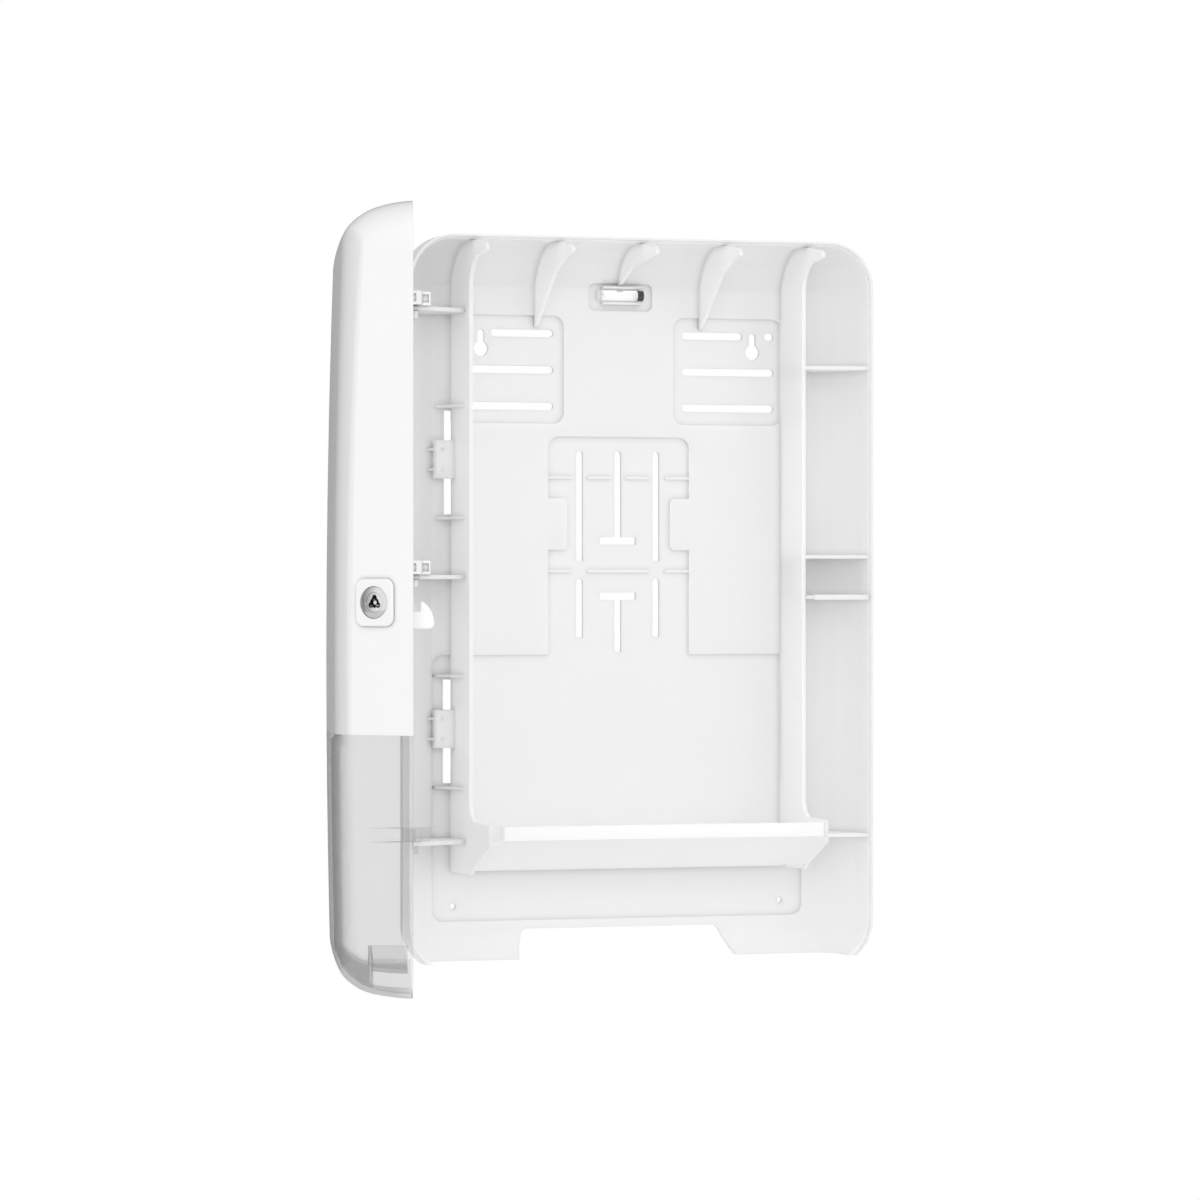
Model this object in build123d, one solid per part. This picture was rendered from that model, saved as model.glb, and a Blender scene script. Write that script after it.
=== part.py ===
from build123d import *
from math import acos, asin, atan2, cos, degrees, hypot, radians, sin, tan
import os

# Folded towel dispenser, shown with its cover swung open.
# X runs to the right seen from the front, Y into the wall, Z up; the origin is on the wall plane,
# at the middle of the width and of the height. A "height" h is measured out from the wall.

# Overall sizes
width = 302.0
height = 444.0
body_depth = 53.5
cover_depth = 48.5
wall = 2.5
rim_corner = 29.0

# Back shell
panel_lift = 2.0
flare_run = 26.0
flare_overrun = 6.0
flare_start = 15.0
flare_end = 88.0
rear_facets = 4
facet_swell = 0.3
rim_rebate_width = 1.2
rim_rebate_depth = 2.6
pad_overlap = 2.0
field_inset = 0.5

# Towel magazine and exit chute
towel_width = 215.0
magazine_wall = 2.5
magazine_front = 43.0
magazine_root_rise = 54.0
chute_lip_height = 92.0
chute_lip_rise = 85.0
chute_lip_tall = 8.5
chute_floor_back = 48.0
chute_floor_rise = 57.0
chute_turn = 14.0
rear_ledge_depth = 17.0
rear_ledge_rise = 11.0
chute_end_taper = 8.0
chute_skin = 2.4

# Top horns
horn_thickness = 2.4
horn_spacing = 54.3
horn_root_drop = 53.0
horn_tip_reach = 24.0
horn_drop = 3.6
horn_bite = 12.6
horn_bite_radius = 12.4

# Back panel recesses and slots
recess_half_width = 46.5
recess_top_drop = 121.0
recess_step = -34.6
recess_corner = 7.0
pad_inner = 36.0
pad_top_drop = 46.0
pad_tall = 67.0
tab_inner = 34.0
tab_low = 30.5
tab_high = 62.8
slot_width = 4.6
mount_slot_inner = 42.4
mount_slot_outer = 103.8
mount_row_drop = 57.0
mount_row_spacing = 22.65
high_slot_outer = 83.0
small_slot_length = 6.4
keyhole_x = 89.6
keyhole_drop = 67.0
keyhole_radius = 4.7
keyhole_neck = 12.0
bottom_hole_x = 107.8
bottom_hole_rise = 32.3
bottom_hole_radius = 1.8
centre_slot_x = 25.2
centre_slot_margin = 8.8
centre_slot_break_high = 23.9
centre_slot_break_low = 12.8
centre_slot_bottom = -23.6
tee_half_width = 11.9
tee_high = 36.4
tee_low = 1.8
tee_stem_bottom = -33.0
rib_row_high = 75.6
rib_row_low = 17.4
panel_rib_height = 1.6
panel_rib_width = 1.8

# Side wall root slots with their bridge blocks
root_slot_inner = 108.5
root_slot_outer = 114.3
root_slot_drop = 105.7
low_root_slot_top = -49.6
root_slot_length = 64.0
bridge_out = 122.0
bridge_drop = 18.5
bridge_length = 23.5
bridge_height = 14.0

# Ribs between the magazine and the rim
side_rib = 2.2
right_rib_drop = 77.8
right_rib_middle = 26.3
right_rib_rise = 74.6
catch_level = 1.2
catch_bead = 3.2
catch_bead_depth = 2.4
catch_setback = 0.8
catch_window_half = 4.2
catch_window_depth = 10.5

# Bottom hand cut-out
cutout_low_half = 76.0
cutout_high_half = 61.0
cutout_rise = 17.8
cutout_corner = 5.0

# Hinge
hinge_x = -145.5
hinge_height = 48.0
pin_radius = 1.8
pin_clearance = 0.05
high_arm_drop = 39.6
middle_arm_level = 19.3
low_arm_rise = 79.4
arm_tall = 8.4
arm_boss_radius = 2.5
ledge_thickness = 2.4
ledge_gap = 0.4
arm_tail = 9.0
arm_reach = 24.0
arm_neck = 3.6
arm_outer = 15.0
arm_flange = 1.8
arm_groove = 1.4
barb_length = 4.5
barb_half = 1.3
sweep_clearance = 0.5
edge_clearance = 0.9
open_angle = 106.0

# Cover
crease_slope = 0.693
top_sweep_radius = 68.0
top_sweep_turn = 17.1
top_set = 3.4
bottom_sweep_radius = 136.0
bottom_sweep_turn = 8.4
bottom_set = 1.3
round_end = 88.0
cover_corner = 27.0
crown_radius = 1100.0
crown_half = 100.0
shoulder_radius = 66.0
shoulder_end = 140.0
long_crown_radius = 6500.0
crown_level = -35.0
crease_radius = 10.0
split_rise = 147.0
joint_tongue = 9.0
joint_gap = 0.15
tongue_skin = 1.6
rim_gap = 0.4
hand_notch_depth = 24.0
hand_notch_skin = 2.0
hand_notch_gap = 3.0

# Lock on the slanted free side of the cover
lock_setback = 27.5
lock_level = -1.5
bezel_across = 24.8
bezel_tall = 26.5
bezel_corner = 5.0
bezel_rise = 2.0
barrel_face_radius = 8.9
barrel_radius = 7.4
barrel_sink = 0.5
barrel_length = 12.5
plug_radius = 5.6
plug_clearance = 0.05
keyhole_lobe = 1.5
keyhole_reach = 2.9
key_pocket = 5.0
centre_pin_radius = 1.1
nut_across = 18.5
nut_thickness = 3.4
washer_radius = 9.6
washer_thickness = 0.9
fit_gap = 0.15
cam_radius = 6.6
cam_thickness = 1.8
finger_offset = 4.6
finger_radius = 1.4
finger_length = 13.0
cam_screw_radius = 1.5
cam_screw_length = 7.0
cam_screw_head = 2.6
cam_screw_rise = 1.6
plug_turn = 60.0

# Latch hook
hook_inset = 17.447
hook_thickness = 3.4
hook_pivot_setback = 22.5
hook_boss_radius = 4.5
hook_pin_radius = 2.0
hook_reach = 11.6
hook_face = 4.1
hook_head_top = -0.9
hook_head_low = -16.1
hook_neck_top = -6.6
ear_thickness = 2.6
ear_gap = 0.35
ear_half = 4.6
finger_play = 0.25

# Spirit level
level_x = 1.0
level_drop = 32.9
vial_radius = 4.1
vial_length = 27.4
vial_skin = 0.9
end_plug_length = 4.0
level_recess_wide = 42.0
level_recess_tall = 17.0
level_recess_corner = 4.0
cradle_skin = 1.4
cradle_gap = 0.15

# Worked out from the sizes above
half_width = width / 2
half_height = height / 2
panel_front = panel_lift + wall
magazine_inner = towel_width / 2
magazine_outer = magazine_inner + magazine_wall
rim_inner = half_width - wall
flat_half_width = half_width - wall - flare_run
flat_top = half_height - wall - flare_run
flat_bottom = -half_height - flare_overrun + wall + flare_run
magazine_root = magazine_root_rise - half_height
chute_lip_top = chute_lip_rise - half_height
chute_floor_low = chute_floor_rise - half_height
horn_root = half_height - horn_root_drop
recess_top = half_height - recess_top_drop
pad_high = half_height - pad_top_drop
pad_low = pad_high - pad_tall
mount_row_high = half_height - mount_row_drop
mount_row_mid = mount_row_high - mount_row_spacing
mount_row_low = mount_row_mid - mount_row_spacing
keyhole_z = half_height - keyhole_drop
keyhole_neck_top = keyhole_z + keyhole_neck
bottom_hole_z = bottom_hole_rise - half_height
centre_slot_top = recess_top - centre_slot_margin
root_slot_tops = (half_height - root_slot_drop, low_root_slot_top)
right_rib_levels = (half_height - right_rib_drop, right_rib_middle, right_rib_rise - half_height)
cutout_top = cutout_rise - half_height
arm_levels = (half_height - high_arm_drop, middle_arm_level, low_arm_rise - half_height)
split_level = split_rise - half_height
level_z = half_height - level_drop
lock_depth = cover_depth - lock_setback
hook_pivot_depth = cover_depth - hook_pivot_setback
hook_plane = half_width - crease_slope * lock_depth - hook_inset
side_normal_angle = degrees(atan2(crease_slope, 1))
side_skin = wall * hypot(1, crease_slope)


def plan(level):
    return Plane(origin=(0, 0, level), x_dir=(1, 0, 0), z_dir=(0, 0, -1))


def front(out):
    return Plane(origin=(0, -out, 0), x_dir=(1, 0, 0), z_dir=(0, -1, 0))


def side(x):
    return Plane(origin=(x, 0, 0), x_dir=(0, -1, 0), z_dir=(-1, 0, 0))


def prism(plane, points, amount, both=False):
    return extrude(plane * make_face(Polyline(*points, close=True)), amount=amount, both=both)


def block(x_low, x_high, h_low, h_high, z_low, z_high):
    centre = ((x_low + x_high) / 2, -(h_low + h_high) / 2, (z_low + z_high) / 2)
    return Pos(*centre) * Box(x_high - x_low, h_high - h_low, z_high - z_low)


def outline(out, half, top, bottom, corner):
    sketch = Pos(0, (top + bottom) / 2) * RectangleRounded(2 * half, top - bottom, corner)
    return front(out) * sketch


def mirrored(shape):
    return shape + mirror(shape, about=Plane.YZ)


# The flared dish: a round and a straight flank lead from the flat panel to the rim

def flare_round():
    first = radians(flare_start)
    last = radians(flare_end)
    rise = body_depth - panel_front
    lean = wall / sin(last) - wall
    run = flare_run - lean
    across = sin(last) - sin(first)
    down = cos(first) - cos(last)
    radius = (run * sin(last) - rise * cos(last)) / (across * sin(last) - down * cos(last))
    return -wall - flare_run - radius * sin(first), panel_front + radius * cos(first), radius


def flare_line(skin):
    middle_in, middle_out, radius = flare_round()
    reach = radius + skin
    first = acos((middle_out - panel_front + skin) / reach)
    last = radians(flare_end)
    turns = (first, (first + last) / 2, last)
    points = [(middle_in + reach * sin(turn), middle_out - reach * cos(turn)) for turn in turns]
    return points + [((skin - wall) / sin(last), body_depth)]


def flare_facets():
    middle_in, middle_out, radius = flare_round()
    reach = radius + wall
    first = acos((middle_out - panel_lift) / reach)
    turns = [first + (radians(flare_end) - first) * step / rear_facets for step in range(rear_facets + 1)]
    reach += facet_swell
    points = [(middle_in + reach * sin(turn), middle_out - reach * cos(turn)) for turn in turns[1:]]
    start = (middle_in + (radius + wall) * sin(first), panel_lift)
    return [start] + points + [(0, body_depth)]


def inner_flare(place):
    points = [place(point) for point in flare_line(0)]
    return ThreePointArc(*points[:3]) + Line(points[2], points[3]), points[0], points[3]


def outer_flare(place):
    points = [place(point) for point in flare_facets()]
    return Polyline(*points), points[0], points[-1]


def corner_bowl(x, z, turn, flare):
    edge, start, end = flare(lambda point: (rim_corner + point[0], point[1]))
    edge += Polyline(end, (0, end[1]), (0, start[1]), start)
    upright = Plane(origin=(x, 0, z), x_dir=(1, 0, 0), z_dir=(0, 0, -1))
    bowl = revolve(upright * make_face(edge), axis=Axis((x, 0, z), (0, 1, 0)), revolution_arc=90)
    return bowl.rotate(Axis((x, 0, z), (0, 1, 0)), turn)


def trough(plane, low_rim, high_rim, length, flare):
    high, high_start, high_end = flare(lambda point: (high_rim + point[0], point[1]))
    low, low_start, low_end = flare(lambda point: (low_rim - point[0], point[1]))
    edge = high + low + Line(low_start, high_start) + Line(high_end, low_end)
    return extrude(plane * make_face(edge), amount=length)


def dish(flare):
    side_x = half_width - rim_corner
    top_z = half_height - rim_corner
    low_z = rim_corner - half_height - flare_overrun
    body = trough(plan(top_z), -half_width, half_width, top_z - low_z, flare)
    upright = Plane(origin=(-side_x, 0, 0), x_dir=(0, 0, 1), z_dir=(1, 0, 0))
    body += trough(upright, low_z - rim_corner, half_height, 2 * side_x, flare)
    for x, z, turn in ((side_x, low_z, 0), (-side_x, low_z, 90), (-side_x, top_z, 180),
                       (side_x, top_z, 270)):
        body += corner_bowl(x, z, turn, flare)
    return body


def level_slot(start, end, level):
    return Pos((start + end) / 2, level) * SlotOverall(end - start, slot_width)


def upright_slot(x, low, high):
    radius = slot_width / 2
    square = Pos(x, (low + high - radius) / 2) * Rectangle(slot_width, high - radius - low)
    return square + Pos(x, high - radius) * Circle(radius)


def panel_recesses():
    low_field = Pos(0, (recess_step + flat_bottom + field_inset) / 2) * RectangleRounded(
        2 * (flat_half_width - field_inset), recess_step - flat_bottom - field_inset, recess_corner)
    column_low = recess_step - recess_corner * 2
    column = Pos(0, (recess_top + column_low) / 2) * RectangleRounded(
        2 * recess_half_width, recess_top - column_low, recess_corner)
    tab = Pos((tab_inner + recess_half_width + 4) / 2, (tab_low + tab_high) / 2)
    tab = tab * RectangleRounded(recess_half_width + 4 - tab_inner, tab_high - tab_low, 3)
    pad_outer = magazine_inner + magazine_wall / 2
    pad = Pos((pad_inner + pad_outer) / 2, (pad_low + pad_high) / 2)
    pad = pad * RectangleRounded(pad_outer - pad_inner, pad_high - pad_low, recess_corner)
    fields = low_field + column + pad + mirror(pad, about=Plane.YZ)
    return fields - tab - mirror(tab, about=Plane.YZ)


def level_recess():
    field = Pos(level_x, level_z - 1) * RectangleRounded(
        level_recess_wide, level_recess_tall, level_recess_corner)
    return extrude(front(wall) * field, amount=8)


def panel_openings():
    row = Sketch()
    for level in (mount_row_mid, mount_row_low):
        row += level_slot(mount_slot_inner, mount_slot_outer, level)
    row += level_slot(mount_slot_inner, high_slot_outer, mount_row_high)
    row += level_slot(mount_slot_outer - small_slot_length, mount_slot_outer, mount_row_high)
    row += Pos(keyhole_x, keyhole_z) * Circle(keyhole_radius)
    row += upright_slot(keyhole_x, keyhole_z, keyhole_neck_top)
    row += Pos(bottom_hole_x, bottom_hole_z) * Circle(bottom_hole_radius)
    row += upright_slot(centre_slot_x, centre_slot_break_high, centre_slot_top)
    row += upright_slot(centre_slot_x, centre_slot_bottom, centre_slot_break_low)
    for top in root_slot_tops:
        row += Pos((root_slot_inner + root_slot_outer) / 2, top - root_slot_length / 2) * Rectangle(
            root_slot_outer - root_slot_inner, root_slot_length)
    both = row + mirror(row, about=Plane.YZ)
    both += upright_slot(0, tee_high, centre_slot_top)
    both += Pos(0, tee_high) * Rectangle(2 * tee_half_width, slot_width)
    both += Pos(0, (tee_stem_bottom + tee_low) / 2) * Rectangle(slot_width, tee_low - tee_stem_bottom)
    both += Pos(0, tee_low) * Rectangle(2 * tee_half_width, slot_width)
    return both


def roof():
    points = [(out, half_height + across) for across, out in flare_line(wall / 2)]
    end = (body_depth - 1.5, half_height - horn_drop)
    edge = ThreePointArc(*points[:3])
    edge += Line(points[2], end)
    return points[0], edge, end


def horn_nose():
    tip_out = body_depth + horn_tip_reach
    top = half_height - horn_drop
    return [(tip_out - 4, top - 2.7), (tip_out, top - 5.2), (tip_out - 1, top - 7.4)]


def magazine_profile():
    start, edge, end = roof()
    bite = (body_depth + horn_tip_reach - 13, half_height - horn_bite)
    elbow = half_height - horn_bite - horn_bite_radius
    turn_top = chute_lip_top + chute_turn
    line = edge + Polyline(end, *horn_nose(), bite)
    line += ThreePointArc(bite, (magazine_front + 4.4, half_height - horn_bite - 6.8),
                          (magazine_front, elbow - 7))
    line += Line((magazine_front, elbow - 7), (magazine_front, turn_top))
    line += ThreePointArc(
        (magazine_front, turn_top),
        (magazine_front + chute_turn * 0.26, turn_top - chute_turn * 0.68),
        (magazine_front + chute_turn, chute_lip_top + chute_turn * 0.1))
    line += Polyline(
        (magazine_front + chute_turn, chute_lip_top + chute_turn * 0.1),
        (chute_lip_height, chute_lip_top), (chute_lip_height, chute_lip_top - chute_lip_tall),
        (chute_floor_back, chute_floor_low), (chute_floor_back - 3, magazine_root),
        (panel_front + 6, magazine_root), (panel_lift + 0.5, magazine_root + 6),
        (panel_lift + 0.5, flat_top), start)
    return make_face(line)


def horn_profile(long_root):
    tip_out = body_depth + horn_tip_reach
    bite = half_height - horn_bite
    start, edge, end = roof()
    under = [(tip_out - 25, bite - 1), (magazine_front - 12, bite - 4), start]
    if long_root:
        under = [(tip_out - 13, bite), (magazine_front + 4, bite - 6.6), (magazine_front - 6, bite - 13.8),
                 (panel_front + 1, horn_root), (panel_lift + 0.6, horn_root), start]
    return make_face(edge + Polyline(end, *horn_nose(), *under))


def chute():
    lip_low = chute_lip_top - chute_lip_tall
    skin = chute_skin
    front_wall = Polyline(
        (chute_lip_height, chute_lip_top), (chute_lip_height, lip_low),
        (chute_floor_back, chute_floor_low), (chute_floor_back - 3, chute_floor_low),
        (chute_floor_back - 3, chute_floor_low + skin),
        (chute_floor_back, chute_floor_low + skin + 0.4),
        (chute_lip_height - skin, lip_low + skin * 0.4),
        (chute_lip_height - skin, chute_lip_top), close=True)
    rear = Polyline(
        (panel_lift + 0.5, magazine_root + rear_ledge_rise),
        (panel_front, magazine_root + rear_ledge_rise),
        (rear_ledge_depth, chute_floor_low + skin),
        (rear_ledge_depth, chute_floor_low),
        (panel_front + 2, magazine_root),
        (panel_lift + 0.5, magazine_root), close=True)
    middle = side(0)
    parts = extrude(middle * make_face(front_wall), amount=magazine_outer, both=True)
    parts += extrude(middle * make_face(rear), amount=magazine_outer, both=True)
    return parts


def lip_ends():
    corner = [
        (magazine_outer + 1, chute_lip_height - chute_end_taper * 1.4),
        (magazine_outer - chute_end_taper, chute_lip_height + 1),
        (magazine_outer + 1, chute_lip_height + 1)]
    return mirrored(prism(plan(chute_lip_top + 40), corner, 90))


def side_rib_plate(level, thickness):
    points = [
        (magazine_inner + 1, panel_lift + 0.6), (magazine_inner + 1, magazine_front),
        (half_width - 1, body_depth - 2), (half_width - 1, panel_lift + 0.6)]
    return prism(plan(level + thickness / 2), points, thickness)


def catch_rib():
    out = body_depth - catch_setback
    start = magazine_outer + 2.5
    points = [
        (magazine_inner + 1, panel_lift + 0.6), (magazine_inner + 1, magazine_front),
        (magazine_outer, magazine_front), (start, out), (half_width - wall / 2, out),
        (half_width - wall / 2, panel_lift + 0.6)]
    plate = prism(plan(catch_level + side_rib / 2), points, side_rib)
    back = out - catch_bead_depth
    window = block(hook_plane - catch_window_half, hook_plane + catch_window_half,
                   back - catch_window_depth, back, catch_level - side_rib, catch_level + side_rib)
    bead = block(start, half_width - wall / 2, back, out,
                 catch_level - catch_bead / 2, catch_level + catch_bead / 2)
    return plate - window + bead


def hinge_ledge(level):
    top = level - arm_tall / 2 - ledge_gap
    points = [
        (-magazine_inner - 1, panel_lift + 0.6), (-magazine_inner - 1, 34),
        (hinge_x + 9, hinge_height + 1.5), (hinge_x + 2, hinge_height + 4),
        (-half_width + 1, hinge_height + 4), (-half_width + 1, panel_lift + 0.6)]
    plate = prism(plan(top), points, ledge_thickness)
    hole = Pos(hinge_x, -hinge_height, top - ledge_thickness / 2)
    return plate - hole * Cylinder(pin_radius + pin_clearance, 3 * ledge_thickness)


def bridge_block(top):
    high = top - bridge_drop
    low = high - bridge_length
    solid = block(-bridge_out, -magazine_inner - 1, panel_lift + 0.6, bridge_height, low, high)
    for level in (high - 5.5, low + 5.5):
        rib = [(-bridge_out - 5, panel_front - 1), (-bridge_out + 4, bridge_height + 1.2),
               (-bridge_out + 5, panel_front - 1)]
        solid += prism(plan(level + 0.8), rib, 1.6)
    return solid


def slot_gusset(level):
    points = [(-magazine_inner - 1, panel_lift + 0.6), (-magazine_inner - 1, magazine_front - 4),
              (-magazine_outer - 11, panel_lift + 0.6)]
    return prism(plan(level + 0.8), points, 1.6)


def level_cradle():
    out = panel_lift + 0.6
    gap = vial_radius + cradle_gap
    centre_out = wall + cradle_gap + vial_radius
    reach = centre_out + 2.2
    half = 12.5
    rails = block(level_x - half, level_x + half, 1, reach, level_z + gap, level_z + gap + cradle_skin)
    rails += block(level_x - half, level_x + half, 1, reach, level_z - gap - cradle_skin, level_z - gap)
    end = vial_length / 2 + cradle_gap
    for low in (level_x - end - cradle_skin, level_x + end):
        rails += block(low, low + cradle_skin, 1, out + 3, level_z - 3, level_z + 3)
    return rails


def hand_cutout():
    points = [(-cutout_low_half, -half_height - 12), (-cutout_high_half - 3, cutout_top),
              (cutout_high_half + 3, cutout_top), (cutout_low_half, -half_height - 12)]
    face = make_face(Polyline(*points, close=True))
    face = fillet(face.vertices().sort_by(Axis.Y)[-2:], cutout_corner)
    return extrude(front(-5) * face, amount=body_depth + 10)


def panel_ribs():
    rows = Part()
    inner_row = ((5, 20.4), (30.6, recess_half_width + 1))
    low_row = ((-1, 20.4), (30.6, recess_half_width + 1))
    for level, spans in ((rib_row_high, inner_row), (rib_row_low, low_row)):
        for low, high in spans:
            rib = block(low, high, wall - 1, wall + panel_rib_height,
                        level - panel_rib_width / 2, level + panel_rib_width / 2)
            rows += mirrored(rib)
    return rows


def make_back_shell():
    outer = dish(outer_flare)
    inner = dish(inner_flare)
    mouth = extrude(outline(body_depth - 0.01, rim_inner, half_height - wall,
                            -half_height - flare_overrun + wall, rim_corner - wall), amount=5)
    level_seat = block(level_x - 23, level_x + 23, 0, 8, level_z - 11, level_z + 10)
    shell = outer + level_seat - inner - mouth - level_recess()
    recess = panel_recesses()
    shell -= extrude(front(wall) * recess, amount=panel_lift + 0.01)
    grown = offset(recess, amount=pad_overlap, kind=Kind.INTERSECTION)
    limit = front(0) * (Pos(0, (flat_top + flat_bottom) / 2) * Rectangle(
        2 * flat_half_width + 1, flat_top - flat_bottom + 1))
    pads = extrude(front(0) * grown, amount=wall) & extrude(limit, amount=wall)
    shell += pads

    walls = mirrored(extrude(side(magazine_outer) * magazine_profile(), amount=magazine_wall))
    shell += walls
    shell += chute()
    blade = horn_thickness / 2
    shell += extrude(side(0) * horn_profile(False), amount=blade, both=True)
    for x in (-horn_spacing, horn_spacing):
        shell += extrude(side(x) * horn_profile(True), amount=blade, both=True)
    shell += panel_ribs()
    shell += level_cradle()
    for level in right_rib_levels:
        shell += side_rib_plate(level, side_rib) & outer
    shell += catch_rib() & outer
    for level in arm_levels:
        shell += hinge_ledge(level) & outer
    for top in root_slot_tops:
        shell += bridge_block(top)
        shell += slot_gusset(top + 2.4)
        shell += slot_gusset(top - root_slot_length - 2.4)

    shell -= lip_ends()
    shell -= extrude(front(-1) * panel_openings(), amount=panel_front + 2)
    step = rim_rebate_width
    inside = wall + 0.1 + rim_rebate_depth / tan(radians(flare_end))
    low_rim = -half_height - flare_overrun
    rebate = outline(body_depth - rim_rebate_depth, half_width - step, half_height - step,
                     low_rim, rim_corner - step)
    rebate -= outline(body_depth - rim_rebate_depth, half_width - inside, half_height - inside,
                      low_rim + inside, rim_corner - inside)
    shell -= extrude(rebate, amount=rim_rebate_depth + 1)
    shell -= block(-half_width - 1, half_width + 1, -5, body_depth + 5, -half_height - 20, -half_height)
    shell -= hand_cutout()
    return shell


# The cover, modelled shut: slanted sides, rounded top and bottom, and a crowned face

def round_points(sweep_radius, sweep_turn, setback, skin):
    join = radians(sweep_turn)
    end = radians(round_end)
    radius = (cover_depth - setback - sweep_radius * sin(join)) / (1 - sin(join))
    deep = (sweep_radius - radius) * sin(join)
    drop = sweep_radius - (sweep_radius - radius) * cos(join)
    wide = sweep_radius - skin
    tight = radius - skin
    sweep = [(wide * sin(turn), sweep_radius - wide * cos(turn)) for turn in (0, join / 2, join)]
    turns = ((join + end) / 2, end)
    return sweep + [(deep + tight * sin(turn), drop - tight * cos(turn)) for turn in turns]


def cover_section(skin):
    top = [(body_depth + deep, half_height - drop)
           for deep, drop in round_points(top_sweep_radius, top_sweep_turn, top_set, skin)]
    low = [(body_depth + deep, drop - half_height)
           for deep, drop in round_points(bottom_sweep_radius, bottom_sweep_turn, bottom_set, skin)]
    edge = Line(low[0], top[0])
    edge += ThreePointArc(*top[:3])
    edge += ThreePointArc(*top[2:])
    edge += Polyline(top[4], (body_depth + cover_depth + 10, crown_level), low[4])
    edge += ThreePointArc(low[4], low[3], low[2])
    edge += ThreePointArc(low[2], low[1], low[0])
    return make_face(edge)


def crown_profile(skin):
    centre_out = body_depth + cover_depth - crown_radius
    turn = asin(crown_half / crown_radius)
    shift = crown_radius - shoulder_radius
    shoulder_x = shift * sin(turn)
    shoulder_out = centre_out + shift * cos(turn)
    last = asin((shoulder_end - shoulder_x) / shoulder_radius)
    radius = shoulder_radius - skin

    def shoulder(angle):
        return shoulder_x + radius * sin(angle), shoulder_out + radius * cos(angle)

    def flip(point):
        return -point[0], point[1]

    near, middle, end = shoulder(turn), shoulder((turn + last) / 2), shoulder(last)
    top = (0, centre_out + crown_radius - skin)
    line = ThreePointArc(end, middle, near)
    line += ThreePointArc(near, top, flip(near))
    line += ThreePointArc(flip(near), flip(middle), flip(end))
    wide = half_width + 10
    back = body_depth - 20
    line += Polyline(flip(end), (-wide, end[1]), (-wide, back), (wide, back), (wide, end[1]), end)
    return plan(crown_level) * make_face(line)


def crown(skin):
    axis_out = body_depth + cover_depth - long_crown_radius
    axis = Axis((0, -axis_out, crown_level), (1, 0, 0))
    half_turn = degrees(asin((half_height + abs(crown_level) + 20) / long_crown_radius))
    profile = crown_profile(skin).rotate(axis, -half_turn)
    return revolve(profile, axis=axis, revolution_arc=2 * half_turn)


def corner_edges(body):
    reach = half_height - cover_depth
    edges = [edge for edge in body.edges() if abs(edge.center().Z) > reach]
    sizes = [edge.bounding_box().size for edge in edges]
    return [edge for edge, size in zip(edges, sizes) if min(size.X, size.Y, size.Z) > 0.1]


def cover_form(skin):
    deep = cover_depth + 12
    near = half_width - skin * hypot(1, crease_slope)
    far = near - crease_slope * deep
    points = [(-near, body_depth), (near, body_depth), (far, body_depth + deep),
              (-far, body_depth + deep)]
    body = extrude(side(0) * cover_section(skin), amount=half_width, both=True)
    body = body & prism(plan(half_height + 5), points, 2 * half_height + 10)
    body = fillet(corner_edges(body), cover_corner - skin)
    return body & crown(skin)


def soft_creases(form):
    loop = [edge for edge in form.edges() if edge.length > height / 2]
    loop = [edge for edge in loop if -edge.center().Y > body_depth + cover_depth / 2]
    return fillet([edge for edge in loop if abs(edge.center().X) > crown_half + 5], crease_radius)


def round_drop(deep, sweep_radius, sweep_turn, setback, skin):
    join = radians(sweep_turn)
    radius = (cover_depth - setback - sweep_radius * sin(join)) / (1 - sin(join))
    if deep < (sweep_radius - skin) * sin(join):
        return sweep_radius - ((sweep_radius - skin) ** 2 - deep ** 2) ** 0.5
    shift = sweep_radius - radius
    across = deep - shift * sin(join)
    return sweep_radius - shift * cos(join) - ((radius - skin) ** 2 - across ** 2) ** 0.5


def inner_outline(deep, skin):
    half = half_width - skin * hypot(1, crease_slope) - crease_slope * deep
    top = half_height - round_drop(deep, top_sweep_radius, top_sweep_turn, top_set, skin)
    low = round_drop(deep, bottom_sweep_radius, bottom_sweep_turn, bottom_set, skin) - half_height
    return outline(body_depth + deep, half, top, low, cover_corner)


def cover_void(skin):
    full = cover_depth - top_set - skin
    steps = [full * share for share in (0, 0.25, 0.48, 0.67, 0.82, 0.93, 0.99)]
    body = loft([inner_outline(deep, skin) for deep in steps], ruled=True)
    body += extrude(inner_outline(steps[-1], skin), amount=10)
    return (body & crown(skin)) + extrude(inner_outline(0, skin), amount=-6)


def hinge_relief():
    radius = hypot(half_width + hinge_x, body_depth - hinge_height) + edge_clearance
    return Pos(hinge_x, -hinge_height, 0) * Cylinder(radius, 2 * height)


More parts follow.
